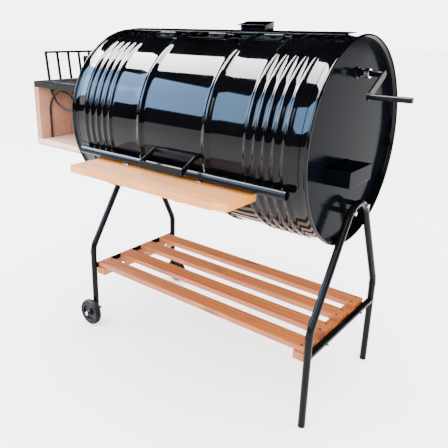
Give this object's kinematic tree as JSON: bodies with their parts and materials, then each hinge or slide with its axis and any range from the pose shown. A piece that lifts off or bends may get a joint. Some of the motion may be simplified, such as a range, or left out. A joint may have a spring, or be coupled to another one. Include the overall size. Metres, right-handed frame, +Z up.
{
  "type": "offset smoker",
  "caption": "Barrel smoker with a lined side firebox, lifting grate worked by a crank, flue vent, ember drawer, front table, slatted shelf and wheels.",
  "frame": {"origin": "on the ground, under the middle of the whole smoker's outline", "axes": "+X along the drum towards the crank, +Y to the back, +Z up"},
  "size_m": [1.395, 0.7079, 1.127],
  "materials": {
    "drum_paint": "mirror-gloss black paint",
    "frame_paint": "gloss black paint",
    "heat_paint": "matt black heat-resistant paint",
    "bare_steel": "brushed steel",
    "zinc": "zinc plated",
    "plate_iron": "blackened hot-rolled plate",
    "firebrick": "fired clay brick, matt, slightly sooty",
    "hearth_brick": "pale pink fired clay brick, matt",
    "shelf_wood": "oiled softwood, orange-brown with knots",
    "table_wood": "pale planed pine",
    "wheel_body": "black moulded plastic",
    "tyre": "black rubber",
    "plug": "black rubber"
  },
  "bodies": {
    "stand": {"drum_shell": "drum_paint", "left_end_plate": "drum_paint", "right_end_plate": "drum_paint", "lid_rest_tube": "drum_paint", "hinge_leaves_drum": "frame_paint", "hinge_pins": "frame_paint", "chimney_duct": "drum_paint", "chimney_cap": "drum_paint", "grate_rests": "heat_paint", "shaft_bushes": "frame_paint", "drawer_cradle": "heat_paint", "firebox_shell": "frame_paint", "firebox_top_frame": "frame_paint", "pot_rail": "frame_paint", "floor_bricks": "hearth_brick", "side_bricks": "firebrick", "back_bricks": "firebrick", "fire_basket": "heat_paint", "basket_legs": "heat_paint", "left_leg_frame": "frame_paint", "right_leg_frame": "frame_paint", "left_crossbar": "frame_paint", "right_crossbar": "frame_paint", "leg_spacers": "frame_paint", "leg_bolts": "zinc", "foot_caps": "plug", "axle_bolts": "zinc", "shelf_slat_1": "shelf_wood", "shelf_slat_2": "shelf_wood", "shelf_slat_3": "shelf_wood", "shelf_slat_4": "shelf_wood", "shelf_battens": "shelf_wood", "slat_screws": "zinc", "batten_bolts": "zinc", "front_table": "table_wood", "table_brackets": "frame_paint", "table_clips": "zinc", "table_screws": "zinc", "lid_seam_cover": "drum_paint"},
    "lid": {"lid_shell": "drum_paint", "lid_handle": "frame_paint", "hinge_leaves_lid": "frame_paint"},
    "grate": {"cooking_grate": "bare_steel", "grate_bails": "bare_steel", "lift_cables": "bare_steel"},
    "winch": {"winch_shaft": "frame_paint", "chain_spools": "heat_paint", "shaft_collar": "zinc", "crank_arm": "frame_paint", "crank_handle": "frame_paint"},
    "drawer": {"ember_drawer": "drum_paint"},
    "griddle": {"griddle_plate": "plate_iron", "griddle_handle": "frame_paint"},
    "front_wheel": {"wheel_front": "wheel_body", "tyre_front": "tyre"},
    "rear_wheel": {"wheel_rear": "wheel_body", "tyre_rear": "tyre"}
  },
  "joints": [
    {"name": "lid_hinge", "type": "hinge", "parent": "stand", "child": "lid", "pos_m": [0.0925, -0.0147, 1.08753], "axis": [-1, 0, 0], "range_deg": [0, 138]},
    {"name": "crank_turn", "type": "hinge", "parent": "stand", "child": "winch", "pos_m": [0.0925, 0.061, 0.997], "axis": [-1, 0, 0], "range_deg": [0, 250]},
    {"name": "grate_lift", "type": "slide", "parent": "stand", "child": "grate", "axis": [0, 0, 1], "range_m": [0, 0.0745], "deforming": ["lift_cables"]},
    {"name": "drawer_slide", "type": "slide", "parent": "stand", "child": "drawer", "axis": [1, 0, 0], "range_m": [-0.07, 0.08]},
    {"name": "griddle_lift", "type": "slide", "parent": "stand", "child": "griddle", "axis": [0, 0, 1], "range_m": [0, 0.15]},
    {"name": "front_wheel_spin", "type": "hinge", "parent": "stand", "child": "front_wheel", "pos_m": [-0.3635, -0.187, 0.05], "axis": [0, 1, 0], "continuous": true},
    {"name": "rear_wheel_spin", "type": "hinge", "parent": "stand", "child": "rear_wheel", "pos_m": [-0.3635, 0.309, 0.05], "axis": [0, 1, 0], "continuous": true}
  ],
  "couplings": [
    {"joint": "grate_lift", "follows": "crank_turn", "m_per_rad": 0.017}
  ]
}
